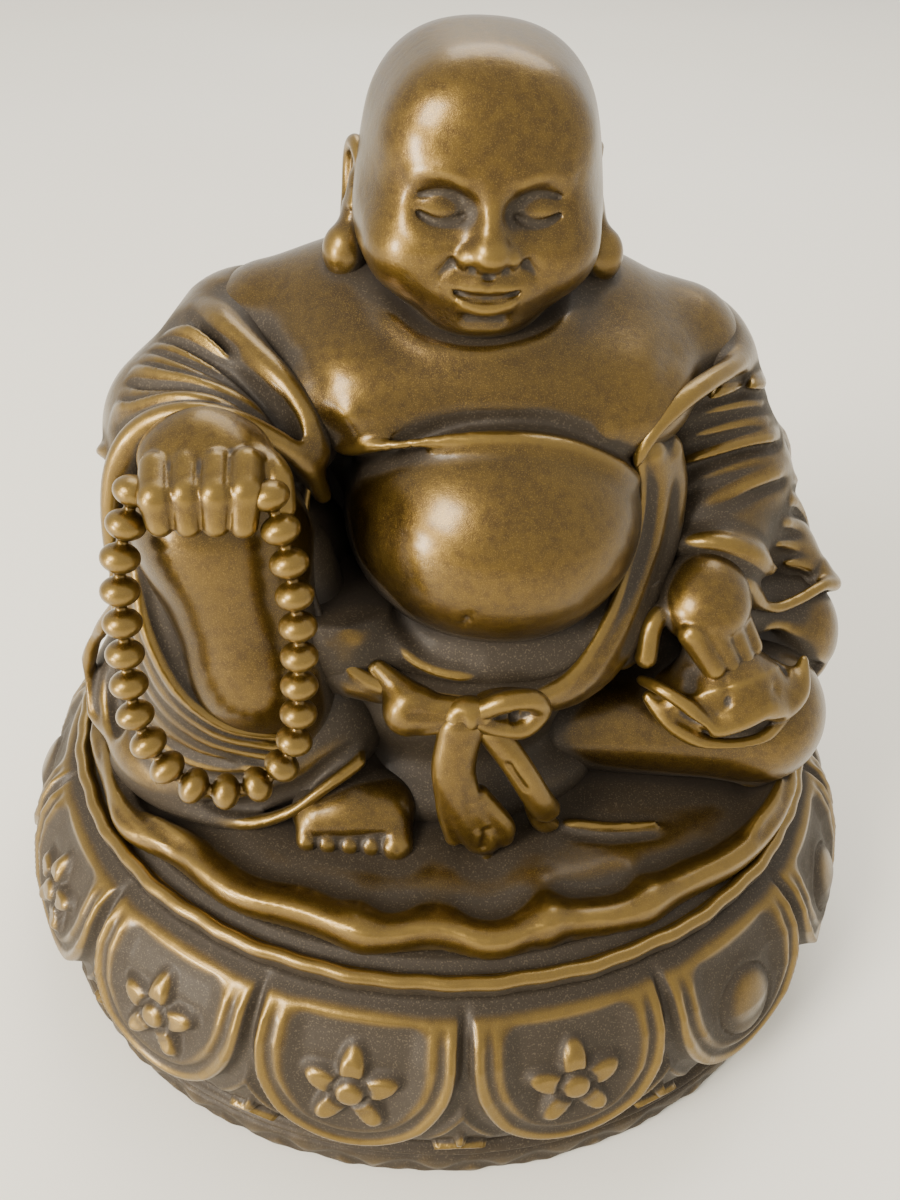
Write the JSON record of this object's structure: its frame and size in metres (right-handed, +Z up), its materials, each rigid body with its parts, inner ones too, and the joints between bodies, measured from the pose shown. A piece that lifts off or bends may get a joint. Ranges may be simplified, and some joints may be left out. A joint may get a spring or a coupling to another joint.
{
  "type": "buddha statue",
  "caption": "Small bronze-finished figurine of a seated laughing monk with prayer beads and a cloth sack, on an oval lotus pedestal with a flat felt underside.",
  "frame": {"origin": "middle of the pedestal's underside, on the surface that the statue stands on", "axes": "+Z up, the figure faces -Y, +X is the viewer's right"},
  "size_m": [0.112, 0.1034, 0.1163],
  "materials": {
    "antique_bronze": "semi-gloss antique bronze, rubbed bright on the raised forms and dull in the recesses",
    "dark_bronze": "darker antique bronze of the pedestal, with bright rubbed edges",
    "fibreboard": "plain pressed board",
    "felt": "short dark felt"
  },
  "bodies": {
    "root": {"head": "antique_bronze", "right_ear": "antique_bronze", "left_ear": "antique_bronze", "torso": "antique_bronze", "right_hand": "antique_bronze", "left_hand": "antique_bronze", "sash_knot": "antique_bronze", "sash_loop_right": "antique_bronze", "sash_loop_left": "antique_bronze", "sash_tail_long": "antique_bronze", "sash_tail_short": "antique_bronze", "robe_edging": "antique_bronze", "right_foot": "antique_bronze", "right_leg": "antique_bronze", "left_leg": "antique_bronze", "sack_mouth": "antique_bronze", "sack": "antique_bronze", "right_sleeve": "antique_bronze", "left_sleeve": "antique_bronze", "robe_lap": "antique_bronze", "robe_skirt": "antique_bronze", "robe_back": "antique_bronze", "prayer_beads": "antique_bronze", "seat": "dark_bronze", "lotus_pedestal": "dark_bronze", "foot_ring": "dark_bronze", "base_cover": "fibreboard", "felt_pad": "felt"}
  },
  "joints": []
}
